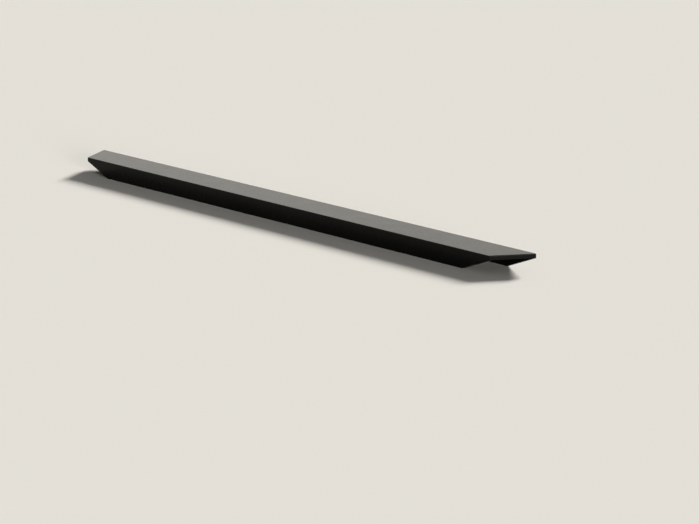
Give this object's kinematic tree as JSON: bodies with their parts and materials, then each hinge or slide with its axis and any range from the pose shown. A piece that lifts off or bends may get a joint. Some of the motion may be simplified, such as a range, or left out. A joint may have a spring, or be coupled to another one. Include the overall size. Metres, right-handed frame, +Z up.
{
  "type": "bar handle",
  "caption": "Low black bar handle: a shallow channel with a trapezoid top plate, a front lip to grip behind, leaning ends and a back flange with tapped holes for screws.",
  "frame": {"origin": "middle of the rectangle that the feet of the lip and the flange stand in, on the floor", "axes": "+X along the bar, +Y out of the mounting face, away from the hand, +Z up through the top plate"},
  "size_m": [0.3132, 0.0186, 0.0086],
  "materials": {
    "black_coat": "satin black powder coat on cast metal"
  },
  "bodies": {
    "root": {"bar_handle": "black_coat"}
  },
  "joints": []
}
